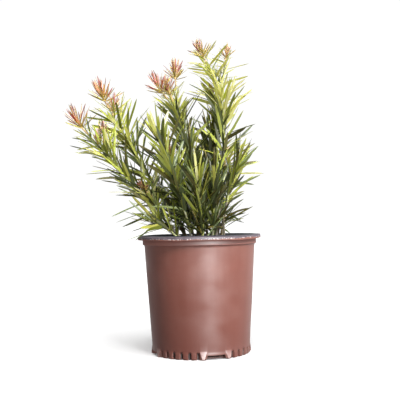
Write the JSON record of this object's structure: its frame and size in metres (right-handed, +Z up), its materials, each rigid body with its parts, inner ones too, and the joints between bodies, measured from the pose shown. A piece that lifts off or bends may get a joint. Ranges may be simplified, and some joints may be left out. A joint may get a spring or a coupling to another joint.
{
  "type": "potted podocarpus",
  "caption": "Young podocarpus with strap leaves and coral new growth, a clump of stems in a brown plastic nursery pot.",
  "frame": {"origin": "middle of the pot's flat underside", "axes": "+Z up along the pot's axis; -Y is the plant's front, and +X is to the right seen from the front"},
  "size_m": [0.3519, 0.251, 0.5799],
  "materials": {
    "pot_plastic": "satin",
    "bark_mix": "rough",
    "stem_bark": "rough",
    "foliage": "satin"
  },
  "bodies": {
    "root": {"pot": "pot_plastic", "bark_mix": "bark_mix", "stem_left_low": "stem_bark", "stem_left_high": "stem_bark", "stem_middle": "stem_bark", "stem_right": "stem_bark", "stem_front_left": "stem_bark", "stem_centre": "stem_bark", "stem_right_inner": "stem_bark", "stem_right_side": "stem_bark", "stem_front_right": "stem_bark", "stem_front_middle": "stem_bark", "stem_back_left": "stem_bark", "stem_back_right": "stem_bark", "stem_back_middle": "stem_bark", "stem_base_left": "stem_bark", "stem_base_right": "stem_bark", "stem_base_back_left": "stem_bark", "stem_base_back_right": "stem_bark", "foliage_left_low": "foliage", "foliage_left_high": "foliage", "foliage_middle": "foliage", "foliage_right": "foliage", "foliage_front_left": "foliage", "foliage_centre": "foliage", "foliage_right_inner": "foliage", "foliage_right_side": "foliage", "foliage_front_right": "foliage", "foliage_front_middle": "foliage", "foliage_back_left": "foliage", "foliage_back_right": "foliage", "foliage_back_middle": "foliage", "foliage_base_left": "foliage", "foliage_base_right": "foliage", "foliage_base_back_left": "foliage", "foliage_base_back_right": "foliage"}
  },
  "joints": []
}
